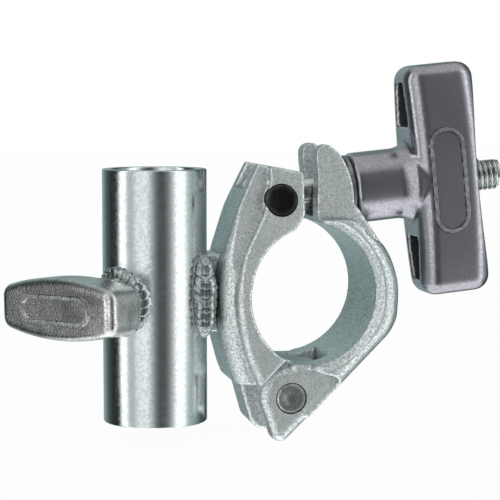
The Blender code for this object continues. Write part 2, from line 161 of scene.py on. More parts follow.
def out_from_tube(distance: float) -> Matrix:
    """The frame on the locking screw's axis, this many millimetres from the tube's axis."""
    return placed(LOCK_WAY, LOCK_POINT + LOCK_WAY * distance)


def swung(point: Vector, centre: Vector, angle: float) -> Vector:
    """A point turned about a line along Y through the centre; positive leans towards -X."""
    return centre + Matrix.Rotation(-angle, 3, "Y") @ (point - centre)


def from_side(point: Vector) -> Vector:
    """Where a point lies in the plane of the outlines."""
    return Vector((point.x, point.z))


def arc(centre: Vector, radius: float, start: float, end: float, step: float = 5) -> Outline:
    """Points on an arc, in millimetres and degrees, including both ends.

    Args:
        centre: Middle of the arc.
        radius: Its radius.
        start: Angle of the first point.
        end: Angle of the last point.
        step: Most degrees between two points.

    Returns:
        The points in order.
    """
    count = max(2, math.ceil(abs(end - start) / step))
    angles = [math.radians(start + (end - start) * i / count) for i in range(count + 1)]
    return [centre + radius * Vector((math.cos(a), math.sin(a))) for a in angles]


def rounded(corners: list[Corner]) -> Outline:
    """The outline through a list of corners, each rounded by its own radius.

    Args:
        corners: Corners as (x, z, radius), in millimetres.

    Returns:
        The points of the closed outline, in millimetres.
    """
    outline: Outline = []
    for i, (x, z, radius) in enumerate(corners):
        corner = Vector((x, z))
        before = Vector(corners[i - 1][:2])
        after = Vector(corners[(i + 1) % len(corners)][:2])
        back, on = (before - corner).normalized(), (after - corner).normalized()
        half = back.angle(on) / 2
        if radius == 0 or half > math.radians(89):
            outline.append(corner)
            continue
        reach = min(radius / math.tan(half), 0.49 * (before - corner).length)
        reach = min(reach, 0.49 * (after - corner).length)
        real = reach * math.tan(half)
        centre = corner + (back + on).normalized() * real / math.sin(half)
        first, last = corner + back * reach - centre, corner + on * reach - centre
        sweep = first.angle_signed(last)
        count = max(1, math.ceil(math.degrees(abs(sweep)) / CORNER_STEP))
        start = math.atan2(first.y, first.x)
        for index in range(count + 1):
            angle = start - sweep * index / count
            outline.append(centre + real * Vector((math.cos(angle), math.sin(angle))))
    return outline


def plate(name: str, outline: Outline, half: float, edge: float = 0.0, matrix: Matrix = FRONT) -> Piece:
    """A flat outline thickened both ways along local Z, its edges rounded inwards.

    Args:
        name: The object's name.
        outline: The closed outline in millimetres.
        half: Half of the thickness in millimetres.
        edge: Radius of the rounded rim in millimetres.
        matrix: Where the plate's own axes go.

    Returns:
        The closed mesh.
    """
    curve = bpy.data.curves.new(name, "CURVE")
    curve.dimensions = "2D"
    curve.fill_mode = "BOTH"
    curve.extrude = (half - edge) * MM
    curve.bevel_depth = edge * MM
    curve.offset = -edge * MM
    curve.bevel_resolution = RIM_ROWS if edge else 0
    spline = curve.splines.new("POLY")
    spline.points.add(len(outline) - 1)
    for point, (x, y) in zip(spline.points, outline):
        point.co = (x * MM, y * MM, 0, 1)
    spline.use_cyclic_u = True
    piece = bpy.data.objects.new(name, curve)
    bpy.context.scene.collection.objects.link(piece)
    take(piece)
    bpy.ops.object.convert(target="MESH")
    piece = bpy.context.object
    tidy_mesh(piece, 1e-5)
    piece.data.transform(matrix)
    return piece


def spun(name: str, profile: Profile, matrix: Matrix, steps: int = 64) -> Piece:
    """A closed profile of (radius, height) in millimetres, spun once about local Z.

    Args:
        name: The object's name.
        profile: The profile's points, from axis to rim and back.
        matrix: Where the spin's own axes go.
        steps: Faces around the axis.

    Returns:
        The closed mesh.
    """
    deselect()
    bpy.ops.mesh.primitive_circle_add(vertices=len(profile), radius=0.01)
    piece = bpy.context.object
    piece.name = name
    for vertex, (radius, height) in zip(piece.data.vertices, profile):
        vertex.co = (radius * MM, 0, height * MM)
    switch("EDIT")
    bpy.ops.mesh.select_all(action="SELECT")
    bpy.ops.mesh.spin(steps=steps, angle=math.tau, center=(0, 0, 0), axis=(0, 0, 1))
    tidy_mesh(piece)
    piece.data.transform(matrix)
    return piece


def skin(name: str, around: int, along: int, shape: Surface, matrix: Matrix) -> Piece:
    """A grid wrapped into a closed skin.

    Args:
        name: The object's name.
        around: Faces around the skin.
        along: Faces along it.
        shape: Turns the two shares from 0 to 1, around and along, into points in millimetres.
        matrix: Where the skin's own axes go.

    Returns:
        The closed mesh.
    """
    deselect()
    bpy.ops.mesh.primitive_grid_add(x_subdivisions=around, y_subdivisions=along, size=2)
    piece = bpy.context.object
    piece.name = name
    flat = np.empty(len(piece.data.vertices) * 3)
    piece.data.vertices.foreach_get("co", flat)
    flat = flat.reshape(-1, 3)
    points = shape((flat[:, 0] + 1) / 2, (flat[:, 1] + 1) / 2) * MM
    piece.data.vertices.foreach_set("co", points.ravel())
    piece.data.update()
    tidy_mesh(piece)
    piece.data.transform(matrix)
    return piece


def box(name: str, low: Corner, high: Corner, matrix: Matrix = Matrix()) -> Piece:
    """A box tool between two corners in millimetres.

    Args:
        name: The object's name.
        low: The corner with the lowest values.
        high: The corner opposite.
        matrix: Where the box's own axes go.

    Returns:
        The box.
    """
    deselect()
    centre = (Vector(low) + Vector(high)) / 2 * MM
    bpy.ops.mesh.primitive_cube_add(size=1, location=centre, scale=(Vector(high) - Vector(low)) * MM)
    tool = bpy.context.object
    tool.name = name
    bpy.ops.object.transform_apply()
    tool.data.transform(matrix)
    return tool


def drill(centre: Vector, way: Vector, radius: float, low: float = -40, high: float = 40) -> Piece:
    """A round tool about a line through a centre, in millimetres.

    Args:
        centre: A point on the line.
        way: Where the line runs.
        radius: The tool's radius.
        low: Where it starts along the line.
        high: Where it ends.

    Returns:
        The tool.
    """
    upward = UP if abs(way.z) < 0.9 else ALONG_PIPE
    deselect()
    bpy.ops.mesh.primitive_cylinder_add(vertices=96, radius=radius * MM, depth=(high - low) * MM)
    tool = bpy.context.object
    tool.data.transform(placed(way, centre + way * (low + high) / 2, upward))
    return tool


def pick(piece: Piece, kind: str, wanted: Callable) -> None:
    """Go into edit mode with only the wanted faces or edges selected.

    Args:
        piece: The mesh to select on.
        kind: FACE or EDGE.
        wanted: Says of each face or edge whether it is selected.
    """
    take(piece)
    switch("EDIT")
    bpy.ops.mesh.select_mode(type=kind)
    bpy.ops.mesh.select_all(action="DESELECT")
    switch("OBJECT")
    for part in piece.data.polygons if kind == "FACE" else piece.data.edges:
        part.select = wanted(part)
    switch("EDIT")


def meet(piece: Piece, tool: Piece, how: Cut) -> None:
    """Cut, add or keep where the tool is, and throw the tool away.

    Args:
        piece: The piece that stays.
        tool: The mesh it meets.
        how: What is done where they meet.
    """
    take(piece)
    modifier = piece.modifiers.new("meet", "BOOLEAN")
    modifier.operation = how.value
    modifier.object = tool
    modifier.solver = "EXACT"
    bpy.ops.object.modifier_apply(modifier=modifier.name)
    bpy.data.objects.remove(tool, do_unlink=True)


def forge(piece: Piece, grain: float, softening: int) -> None:
    """Rework a piece into an even skin and soften its edges as forging or casting does.

    Args:
        piece: The closed mesh.
        grain: Size of the new faces in millimetres.
        softening: Rounds of smoothing.
    """
    take(piece)
    even = piece.modifiers.new("even", "REMESH")
    even.mode = "VOXEL"
    even.voxel_size = grain * MM
    soft = piece.modifiers.new("soft", "SMOOTH")
    soft.factor = 0.5
    soft.iterations = softening
    for modifier in (even, soft):
        bpy.ops.object.modifier_apply(modifier=modifier.name)
    bpy.ops.object.shade_smooth()


def crisp(piece: Piece, angle: float = 35) -> Piece:
    """The same piece, with smooth shading that breaks at sharp edges.

    Args:
        piece: The piece to shade.
        angle: Degrees past which an edge stays sharp.

    Returns:
        The same piece.
    """
    take(piece)
    bpy.ops.object.shade_smooth_by_angle(angle=math.radians(angle))
    return piece


def rod_profile(radius: float, low: float, high: float, chamfer: float) -> Profile:
    """The half section of a plain rod with chamfered ends.

    Args:
        radius: The rod's radius.
        low: Where it starts.
        high: Where it ends.
        chamfer: Size of the chamfers.

    Returns:
        The section's points.
    """
    return [
        (0, high), (radius - chamfer, high), (radius, high - chamfer),
        (radius, low + chamfer), (radius - chamfer, low), (0, low),
    ]


def ring_profile(outer: float, inner: float, low: float, high: float, chamfer: float) -> Profile:
    """The section of a plain ring with chamfered edges.

    Args:
        outer: The ring's radius.
        inner: Its hole's radius.
        low: Where it starts.
        high: Where it ends.
        chamfer: Size of the chamfers.

    Returns:
        The section's points.
    """
    return [
        (inner + chamfer, high), (outer - chamfer, high), (outer, high - chamfer), (outer, low + chamfer),
        (outer - chamfer, low), (inner + chamfer, low), (inner, low + chamfer), (inner, high - chamfer),
    ]


def threaded(name: str, radius: float, pitch: float, low: float, high: float, matrix: Matrix) -> Piece:
    """A rod with a right-hand thread cut along all of it.

    Args:
        name: The object's name.
        radius: Radius over the crests in millimetres.
        pitch: Rise of the thread each turn.
        low: Where the rod starts along local Z.
        high: Where it ends.
        matrix: Where the rod's own axes go.

    Returns:
        The closed mesh.
    """
    rows = round((high - low) / pitch * 8)
    depth = 0.54 * pitch

    def shape(turn: np.ndarray, run: np.ndarray) -> np.ndarray:
        """Rings of points whose radius follows the thread.

        Args:
            turn: Share of the way around, from 0 to 1.
            run: Share of the way along, from 0 to 1.

        Returns:
            The points in millimetres.
        """
        row = np.round(run * (rows + 2))
        height = low + (high - low) * np.clip((row - 1) / rows, 0, 1)
        phase = np.mod(height / pitch - turn, 1.0)
        tooth = np.clip(1.45 - np.abs(phase * 2 - 1) * 1.9, 0, 1)
        taper = np.clip((high - height) / (0.7 * pitch), 0, 1)
        size = (radius - depth) + depth * tooth * taper
        size = np.where((row < 0.5) | (row > rows + 1.5), 0.0, size)
        angle = turn * math.tau
        return np.stack([size * np.cos(angle), size * np.sin(angle), height], axis=1)

    return skin(name, 48, rows + 2, shape, matrix)


def barrel(half_length: float, half_end: float, half_middle: float, corner: float) -> Outline:
    """A bar's outline along local Y, with bulging sides and rounded corners.

    Args:
        half_length: Half of the bar's length.
        half_end: Half of its width at the ends.
        half_middle: Half of its width in the middle.
        corner: Radius of its corners.

    Returns:
        The closed outline.
    """
    ways = [step / 12 for step in range(-9, 10)]
    side = [(half_middle - (half_middle - half_end) * way**2, half_length * way, 0) for way in ways]
    right = [(half_end, -half_length, corner), *side, (half_end, half_length, corner)]
    return rounded(right + [(-x, -y, radius) for x, y, radius in right])


def stadium(half_length: float, half_width: float) -> Outline:
    """A slot-shaped outline along local Y."""
    upper = Vector((0, half_length - half_width))
    return arc(upper, half_width, 0, 180, 10) + arc(-upper, half_width, 180, 360, 10)


def raised_line(half_length: float, half_width: float, line: float, half: float, matrix: Matrix) -> Piece:
    """A closed slot-shaped line, as wide as line, standing in a slab of the given half thickness.

    Args:
        half_length: Half of the slot's length.
        half_width: Half of its width.
        line: Width of the line.
        half: Half of the line's height.
        matrix: Where its own axes go.

    Returns:
        The line as a closed mesh.
    """
    mark = plate("mark", stadium(half_length, half_width), half, 0, matrix)
    inside = plate("mark_inside", stadium(half_length - line, half_width - line), half + 1, 0, matrix)
    meet(mark, inside, Cut.AWAY)
    return mark


# Finishes


def new_group(name: str, inputs: dict[str, str], outputs: dict[str, str]) -> Tree:
    """A shader node group with named sockets.

    Args:
        name: The group's name.
        inputs: Socket names and types going in.
        outputs: Socket names and types coming out.

    Returns:
        The group, with its two end nodes in place.
    """
    group = bpy.data.node_groups.new(name, "ShaderNodeTree")
    for label, kind in inputs.items():
        group.interface.new_socket(name=label, in_out="INPUT", socket_type=kind)
    for label, kind in outputs.items():
        group.interface.new_socket(name=label, in_out="OUTPUT", socket_type=kind)
    group.nodes.new("NodeGroupInput")
    group.nodes.new("NodeGroupOutput")
    return group


def ends(group: Tree) -> tuple[Nodes, Callable, Node, Node]:
    """A group's nodes, the call that links them, and its two end nodes."""
    return group.nodes, group.links.new, group.nodes["Group Input"], group.nodes["Group Output"]


def noise(nodes: Nodes, **values: float) -> Node:
    """A noise node with the given inputs set.

    Args:
        nodes: The nodes it joins.
        values: Its inputs by name.

    Returns:
        The node.
    """
    node = nodes.new("ShaderNodeTexNoise")
    for name, value in values.items():
        node.inputs[name].default_value = value
    return node


def spread(nodes: Nodes, low: float, high: float, to: tuple[float, float] = (0, 1)) -> Node:
    """A clamped Map Range node.

    Args:
        nodes: The nodes it joins.
        low: The value that gives the first result.
        high: The value that gives the last.
        to: The first and the last result.

    Returns:
        The node.
    """
    node = nodes.new("ShaderNodeMapRange")
    for socket, value in zip(node.inputs[1:5], (low, high, *to)):
        socket.default_value = value
    return node


def sum_node(nodes: Nodes, operation: str, second: float | None = None) -> Node:
    """A Math node, with its second value set where one is given.

    Args:
        nodes: The nodes it joins.
        operation: What it does.
        second: The second value.

    Returns:
        The node.
    """
    node = nodes.new("ShaderNodeMath")
    node.operation = operation
    if second is not None:
        node.inputs[1].default_value = second
    return node


def blend(nodes: Nodes, over: Colour) -> Node:
    """A Mix node that lays one colour over whatever is linked or set below it.

    Args:
        nodes: The nodes it joins.
        over: The colour on top.

    Returns:
        The node.
    """
    node = nodes.new("ShaderNodeMix")
    node.data_type = "RGBA"
    node.inputs[7].default_value = (*over, 1)
    return node


def grain_group() -> Tree:
    """Fine speckle: a contrasty mask and a height, from two sizes of noise.

    Returns:
        The group.
    """
    group = new_group(
        "fine_grain", {"Vector": "NodeSocketVector", "Scale": "NodeSocketFloat"},
        {"Mask": "NodeSocketFloat", "Height": "NodeSocketFloat"},
    )
    nodes, link, start, end = ends(group)
    fine, broad = noise(nodes, Detail=3, Roughness=0.65), noise(nodes, Detail=2)
    coarser = sum_node(nodes, "MULTIPLY", 0.55)
    mixed = sum_node(nodes, "ADD")
    level = spread(nodes, 0.86, 1.14)
    link(start.outputs["Vector"], fine.inputs["Vector"])
    link(start.outputs["Vector"], broad.inputs["Vector"])
    link(start.outputs["Scale"], fine.inputs["Scale"])
    link(start.outputs["Scale"], coarser.inputs[0])
    link(coarser.outputs[0], broad.inputs["Scale"])
    link(fine.outputs[0], mixed.inputs[0])
    link(broad.outputs[0], mixed.inputs[1])
    link(mixed.outputs[0], level.inputs["Value"])
    link(level.outputs["Result"], end.inputs["Mask"])
    link(mixed.outputs[0], end.inputs["Height"])
    return group


def edge_shading_group() -> Tree:
    """Painted highlight on sharp edges and painted shade in creases, from how sharply the surface turns.

    Returns:
        The group.
    """
    group = new_group(
        "edge_highlight_and_crease_shade", {"Vector": "NodeSocketVector"}, {"EdgeHighlight": "NodeSocketFloat", "CreaseShade": "NodeSocketFloat"}
    )
    nodes, link, start, end = ends(group)
    turn = nodes.new("ShaderNodeNewGeometry")
    patch = noise(nodes, Scale=420)
    uneven = spread(nodes, 0.35, 0.65, (0.25, 1.0))
    # edge picks sharp ridges for the painted highlight, crease picks hollows for the painted shade
    edge, crease_shade = spread(nodes, 0.515, 0.56), spread(nodes, 0.492, 0.455)
    broken_highlight = sum_node(nodes, "MULTIPLY")
    link(start.outputs["Vector"], patch.inputs["Vector"])
    link(patch.outputs[0], uneven.inputs["Value"])
    link(turn.outputs["Pointiness"], edge.inputs["Value"])
    link(turn.outputs["Pointiness"], crease_shade.inputs["Value"])
    link(edge.outputs["Result"], broken_highlight.inputs[0])
    link(uneven.outputs["Result"], broken_highlight.inputs[1])
    link(broken_highlight.outputs[0], end.inputs["EdgeHighlight"])
    link(crease_shade.outputs["Result"], end.inputs["CreaseShade"])
    return group


def stain_group() -> Tree:
    """Broad cloudy patches.

    Returns:
        The group.
    """
    group = new_group(
        "clouding", {"Vector": "NodeSocketVector", "Scale": "NodeSocketFloat"}, {"Mask": "NodeSocketFloat"}
    )
    nodes, link, start, end = ends(group)
    cloud = noise(nodes, Detail=5, Distortion=0.6)
    level = spread(nodes, 0.36, 0.66)
    link(start.outputs["Vector"], cloud.inputs["Vector"])
    link(start.outputs["Scale"], cloud.inputs["Scale"])
    link(cloud.outputs[0], level.inputs["Value"])
    link(level.outputs["Result"], end.inputs["Mask"])
    return group


@dataclass(frozen=True)
class Finish:
    """One metal finish and how much of each effect it shows."""

    name: str
    colour: Colour
    cloud: Colour
    speck: Colour
    # Colour of the painted highlight laid on sharp edges
    edge: Colour
    # Colour of the painted shade laid in creases
    crease_shade: Colour
    rough: tuple[float, float]
    clouding: float = 0.5
    cloud_scale: float = 60
    specks: float = 0.4
    grain_scale: float = 2600
    bump: float = 0.3
    bump_depth: float = 0.00012
    # How much painted highlight goes on sharp edges
    edge_shading: float = 0.6
    # How much painted shade goes in creases
    crease_shade_amount: float = 0.7
    metal: float = 1.0
    slot: str = ""

    def build(self, groups: dict[str, Tree]) -> bpy.types.Material:
        """Lay the clouding, specks, painted shade in creases and painted highlight on edges over the base
        colour.

        Args:
            groups: The shared effect groups by name.

        Returns:
            The finished material.
        """
        material = bpy.data.materials.new(self.name)
        material.use_nodes = True
        nodes, link = material.node_tree.nodes, material.node_tree.links.new
        shader = nodes["Principled BSDF"]
        shader.inputs["Metallic"].default_value = self.metal
        place = nodes.new("ShaderNodeTexCoord").outputs["Object"]
        effects = {}
        for key, scale in (("grain", self.grain_scale), ("clouds", self.cloud_scale), ("edge_shading", None)):
            node = nodes.new("ShaderNodeGroup")
            node.node_tree = groups[key]
            link(place, node.inputs["Vector"])
            if scale:
                node.inputs["Scale"].default_value = scale
            effects[key] = node
        layers = [
            (effects["clouds"].outputs["Mask"], self.clouding, self.cloud),
            (effects["grain"].outputs["Mask"], self.specks, self.speck),
            # Painted shade in creases, then painted highlight on sharp edges
            (effects["edge_shading"].outputs["CreaseShade"], self.crease_shade_amount, self.crease_shade),
            (effects["edge_shading"].outputs["EdgeHighlight"], self.edge_shading, self.edge),
        ]
        below = None
        for mask, amount, colour in layers:
            share = sum_node(nodes, "MULTIPLY", amount)
            link(mask, share.inputs[0])
            mix = blend(nodes, colour)
            link(share.outputs[0], mix.inputs[0])
            mix.inputs[6].default_value = (*self.colour, 1)
            if below:
                link(below, mix.inputs[6])
            below = mix.outputs[2]
        link(below, shader.inputs["Base Color"])
        rough = spread(nodes, 0, 1, self.rough)
        link(effects["grain"].outputs["Mask"], rough.inputs["Value"])
        link(rough.outputs["Result"], shader.inputs["Roughness"])
        bump = nodes.new("ShaderNodeBump")
        bump.inputs["Strength"].default_value = self.bump
        bump.inputs["Distance"].default_value = self.bump_depth
        link(effects["grain"].outputs["Height"], bump.inputs["Height"])
        link(bump.outputs["Normal"], shader.inputs["Normal"])
        return material


# Each finish gives its name, base colour, cloud and speck colours, painted edge highlight colour, painted
# crease shade colour and roughness range
FINISHES = (
    Finish(
        "forged_zinc", (0.97, 1.0, 0.995), (0.70, 0.79, 0.785), (0.18, 0.21, 0.208),
        (0.98, 0.99, 0.99), (0.02, 0.03, 0.03), (0.33, 0.54), clouding=0.42, specks=0.58, grain_scale=2800,
        bump=0.6, bump_depth=0.00015, cloud_scale=45, edge_shading=0.3, crease_shade_amount=1.0,
    ),
    Finish(
        "tube_zinc", (0.70, 0.745, 0.745), (0.62, 0.67, 0.67), (0.44, 0.475, 0.475),
        (0.86, 0.88, 0.88), (0.22, 0.23, 0.23), (0.14, 0.24), specks=0.55, grain_scale=1500, bump=0.12,
        bump_depth=0.00003, cloud_scale=35, clouding=0.35,
    ),
    Finish(
        "cast_aluminium", (0.50, 0.485, 0.525), (0.35, 0.34, 0.375), (0.24, 0.235, 0.255),
        (1.0, 0.99, 1.0), (0.015, 0.015, 0.017), (0.15, 0.24), specks=0.45, grain_scale=2300, bump=0.2,
        bump_depth=0.00005, cloud_scale=60, edge_shading=1.0, crease_shade_amount=1.0, metal=0.86,
    ),
    Finish(
        "tumbled_aluminium", (0.95, 0.94, 0.93), (0.36, 0.35, 0.35), (0.14, 0.135, 0.13),
        (0.98, 0.97, 0.97), (0.02, 0.02, 0.02), (0.18, 0.32), specks=0.5, clouding=0.9, grain_scale=2800,
        bump=0.4, bump_depth=0.0001, cloud_scale=75, edge_shading=0.9, crease_shade_amount=1.0, slot="cast_aluminium",
    ),
    Finish(
        "dark_pin", (0.03, 0.028, 0.026), (0.014, 0.013, 0.012), (0.008, 0.008, 0.008),
        (0.10, 0.10, 0.10), (0.01, 0.01, 0.01), (0.38, 0.60), specks=0.6, grain_scale=1200, bump=0.6,
        bump_depth=0.00008, slot="pin_steel",
    ),
    Finish(
        "bright_pin", (0.52, 0.53, 0.53), (0.24, 0.245, 0.24), (0.10, 0.10, 0.10),
        (0.80, 0.81, 0.80), (0.04, 0.04, 0.04), (0.30, 0.50), specks=0.7, grain_scale=1200, bump=0.6,
        bump_depth=0.00008, cloud_scale=220, slot="pin_steel",
    ),
    Finish(
        "bolt_zinc", (0.64, 0.66, 0.645), (0.54, 0.56, 0.54), (0.36, 0.37, 0.36),
        (0.85, 0.86, 0.84), (0.06, 0.06, 0.06), (0.18, 0.30), grain_scale=2400, bump=0.2, bump_depth=0.00005,
    ),
    Finish(
        "dull_zinc", (0.22, 0.225, 0.22), (0.15, 0.155, 0.15), (0.09, 0.09, 0.09),
        (0.45, 0.46, 0.45), (0.03, 0.03, 0.03), (0.30, 0.46), grain_scale=2000, bump=0.3, bump_depth=0.00006,
        slot="bolt_zinc",
    ),
    Finish(
        "weld_metal", (0.50, 0.54, 0.54), (0.26, 0.29, 0.29), (0.12, 0.13, 0.13),
        (0.92, 0.94, 0.94), (0.012, 0.014, 0.014), (0.18, 0.34), grain_scale=1700, bump=0.35,
        bump_depth=0.00008, edge_shading=0.8, crease_shade_amount=1.0,
    ),
    Finish(
        "turned_brass", (0.76, 0.58, 0.29), (0.62, 0.45, 0.20), (0.45, 0.32, 0.14),
        (0.90, 0.75, 0.45), (0.12, 0.08, 0.03), (0.22, 0.34), bump=0.2, bump_depth=0.00005, slot="brass",
    ),
)


class Finisher:
    """Builds the finishes once and puts them on pieces."""

    def __init__(self) -> None:
        """Make the shared groups and every material."""
        groups = {"grain": grain_group(), "edge_shading": edge_shading_group(), "clouds": stain_group()}
        self.slots = {finish.name: finish.slot or finish.name for finish in FINISHES}
        self.materials = {finish.name: finish.build(groups) for finish in FINISHES}

    def dress(self, piece: Piece, finish: str) -> None:
        """Give a piece one finish all over."""
        piece.data.materials.clear()
        piece.data.materials.append(self.materials[finish])

    def hand_over(self, piece: Piece, finish: str, body: str, node: str) -> None:
        """Dress a finished piece and set it in the frame.

        Args:
            piece: The finished piece, with its place in its mesh.
            finish: The name of its finish.
            body: The CAD body that it rides on.
            node: The CAD node that it stands for.
        """
        self.dress(piece, finish)
        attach(piece, body)
        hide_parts(node)
        LOG.info("%s rides on %s, %d faces", piece.name, body, len(piece.data.polygons))


# Sub-assemblies


@dataclass
class Saddle:
    """The forged jaw that is welded to the tube, with its fork and its tongue."""

    back_half: float = 17.4
    face_half: float = 20.9
    back_edge: float = 6.0
    face_edge: float = 2.4
    fork_back_half: float = 14.8
    fork_face_half: float = 17.6
    tongue_half: float = 8.7
    eye_slot_half: float = 7.3
    taper_degrees: float = 9.0
    taper_height: float = 22.0

    def shoulder(self) -> Piece:
        """The tool that squares off the wide part above the hinge.

        Returns:
            The tool.
        """
        outline = [
            (-60, -28.9, 0), (-20.6, -28.9, 1), (-12.6, -20.7, 0),
            (20, -20.7, 0), (20, -60, 0), (-60, -60, 0),
        ]
        return plate("shoulder", rounded(outline[::-1]), 40)

    def taper(self, piece: Piece, half: float) -> None:
        """Lean the fork's sides inwards towards the top.

        Args:
            piece: The piece to trim.
            half: Half of its width where the lean starts.
        """
        raised = Matrix.Translation((0, 0, self.taper_height * MM))
        for side in (1, -1):
            lean = raised @ Matrix.Rotation(side * math.radians(self.taper_degrees), 4, "X")
            low, high = (half, 40) if side > 0 else (-40, -half)
            meet(piece, box("taper", (-60, low, -30), (60, high, 60), lean), Cut.AWAY)

    def build(self) -> Piece:
        """Forge the jaw: a rounded back, a raised face plate, the tongue and every cut.

        Returns:
            The finished piece.
        """
        back = [
            (12, 60, 0), (-11.6, 60, 0), (-20.1, 44.4, 60), (-27.4, 29.6, 40), (-33.0, 12, 40),
            (-34.0, 2, 30), (-33.0, -14, 30), (-30.0, -25, 12), (-22.0, -45, 0), (12, -45, 0),
        ]
        jaw = plate("forged_saddle", rounded(back), self.back_half, self.back_edge)
        self.taper(jaw, self.fork_back_half)
        face = [
            (11.5, 59.5, 0), (-12.5, 59.5, 0), (-16.6, 43.6, 6), (-16.4, 39.0, 8), (-18.6, 28.3, 10),
            (-22.6, 20.4, 14), (-25.6, 14.6, 14), (-28.6, 4.0, 20), (-28.9, -2.0, 20), (-27.6, -10.5, 20),
            (-25.4, -19.5, 14), (-22.3, -26.5, 8), (-17.5, -44.5, 0), (11.5, -44.5, 0),
        ]
        raised = plate("saddle_face", rounded(face), self.face_half, self.face_edge)
        self.taper(raised, self.fork_face_half)
        meet(jaw, raised, Cut.ADD)
        meet(jaw, self.shoulder(), Cut.AWAY)
        crown = [(-60, 51.5, 0), (-60, 80, 0), (20, 80, 0), (20, 36.8, 0)]
        meet(jaw, plate("crown", rounded(crown), 40), Cut.AWAY)
        tongue = [
            (-27.0, -24, 0), (-26.2, -29, 4), (-22.4, -42.6, 3), (-19.4, -45.6, 4),
            (-11.0, -45.6, 5), (0.4, -35.6, 7), (2.6, -29.0, 6), (1.6, -22, 2), (-16, -16, 0),
        ]
        meet(jaw, plate("tongue", rounded(tongue), self.tongue_half, 1.2), Cut.ADD)
        meet(jaw, box("weld_pad", (-37, -8, -12), (-31, 8, 14)), Cut.ADD)
        meet(jaw, drill(TUBE_AXIS, UP, TUBE_RADIUS + GAP, -60, 60), Cut.AWAY)
        meet(jaw, drill(Vector(), ALONG_PIPE, PIPE_RADIUS), Cut.AWAY)
        gate = [(-5.2, 60, 0), (-5.2, 27, 3), (-9.2, 21.5, 0), (-2, 10, 0), (30, -20, 0), (30, 60, 0)]
        meet(jaw, plate("gate", rounded(gate), 40), Cut.AWAY)
        slot = arc(from_side(PIVOT), 11.4, 175, 322)
        slot += [Vector((20, 23.5)), Vector((20, 60)), Vector((-20.5, 60))]
        meet(jaw, plate("eye_slot", slot[::-1], self.eye_slot_half), Cut.AWAY)
        forge(jaw, JAW_GRAIN, JAW_SOFTENING)
        meet(jaw, drill(PIVOT, ALONG_PIPE, PIVOT_HOLE), Cut.AWAY)
        meet(jaw, drill(HINGE, ALONG_PIPE, HINGE_HOLE), Cut.AWAY)
        return crisp(jaw, 50)


@dataclass
class Flap:
    """The forged jaw that swings on the hinge pin."""

    half: float = 21.0
    edge: float = 6.2
    fork_half: float = 14.0
    bolt_slot_half: float = 6.7
    hinge_slot_half: float = 9.2
    prong_half: float = 16.5
    prong_radius: float = 10.6

    def trimmed(self, jaw: Piece) -> None:
        """Step the sides in where the fork and the prongs are narrower than the seat.

        Args:
            jaw: The jaw to trim.
        """
        shelf = [(-30, 25.6, 0), (12, 25.6, 6), (19, 17.0, 12), (40, 17, 0), (40, 60, 0), (-30, 60, 0)]
        cheek = [(-30, -60, 0), (-30, -16, 0), (-8, -23, 3), (6, -27, 4), (12, -60, 0)]
        for outline, half in ((shelf, self.fork_half), (cheek, self.prong_half)):
            for side in (1, -1):
                where = Matrix.Translation((0, side * (half + 19.9) * MM, 0)) @ FRONT
                meet(jaw, plate("trim", rounded(outline), 20, 0, where), Cut.AWAY)

    def build(self) -> Piece:
        """Forge the jaw: barrel-sided ring, fork, prongs, lipped bore and both slots.

        Returns:
            The finished piece.
        """
        ring = [
            (-0.4, 34, 0), (9.5, 34, 0), (14.4, 28.6, 0), (24.6, 13.2, 22), (27.6, 4.0, 24),
            (27.0, -8.2, 14), (24.2, -13.2, 12), (-4, -41.4, 0), (-10, -30, 0), (-0.4, -20, 0),
        ]
        jaw = plate("forged_flap", rounded(ring), self.half, self.edge)
        self.trimmed(jaw)
        prongs = rounded([(14.4, 26.0, 0), (-0.2, 20.5, 0), (-0.2, 40, 0)])
        prongs += arc(Vector((2.8, 46.9)), 3.6, 180, 70)
        prongs += arc(from_side(PIVOT), 25.3, 38, -3)
        meet(jaw, plate("fork", prongs, self.fork_half), Cut.ADD)
        nose = rounded([(-18.9, -39.0, 0), (-14.6, -51.8, 3.4), (6, -31.8, 0), (6, -18, 0), (-9, -19, 0)])
        nose += arc(from_side(HINGE), self.prong_radius, 92, 194)
        meet(jaw, plate("nose", nose, self.prong_half, 3.2), Cut.ADD)
        axis = swung(Vector(), HINGE, CLOSED_PAST)
        bore = [(0, 40), (43, 40), (24, 18), (24, -18), (43, -40), (0, -40)]
        meet(jaw, spun("bore", bore, placed(ALONG_PIPE, axis), 128), Cut.AWAY)
        slot = [(-20, 60, 0), (-20, 25.6, 0), (4, 26.2, 3), (40, 30.5, 0), (40, 60, 0)]
        meet(jaw, plate("bolt_slot", rounded(slot), self.bolt_slot_half), Cut.AWAY)
        meet(jaw, drill(PIVOT, BOLT_WAY, 12.9, 25.1, 70), Cut.AWAY)
        slot = [(-40, -10, 0), (4.6, -10, 0), (4.6, -28.0, 6), (5.2, -46, 3), (2, -60, 0), (-40, -60, 0)]
        meet(jaw, plate("hinge_slot", rounded(slot), self.hinge_slot_half), Cut.AWAY)
        forge(jaw, JAW_GRAIN, JAW_SOFTENING)
        meet(jaw, drill(HINGE, ALONG_PIPE, HINGE_HOLE), Cut.AWAY)
        return crisp(jaw, 50)


